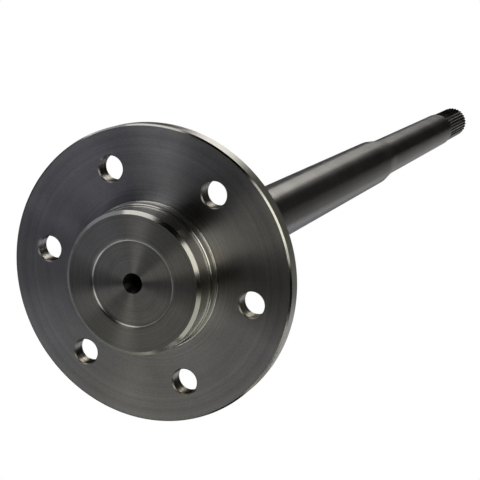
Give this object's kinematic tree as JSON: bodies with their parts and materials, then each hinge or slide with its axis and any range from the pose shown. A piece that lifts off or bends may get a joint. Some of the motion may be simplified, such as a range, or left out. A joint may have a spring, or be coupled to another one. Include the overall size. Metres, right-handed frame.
{
  "type": "axle shaft",
  "caption": "Flanged axle shaft turned from one forging, with a hub nose and stud holes at the wheel end and a splined inner end.",
  "frame": {"origin": "centre of the hub nose face, on which the axle stands", "axes": "+Z along the shaft from the hub nose to the splined end, +X through one stud hole"},
  "size_m": [0.182, 0.1818, 0.8805],
  "materials": {
    "turned_steel": "bare turned steel with fine lathe marks, lightly oiled"
  },
  "bodies": {
    "root": {"axle_shaft": "turned_steel"}
  },
  "joints": []
}
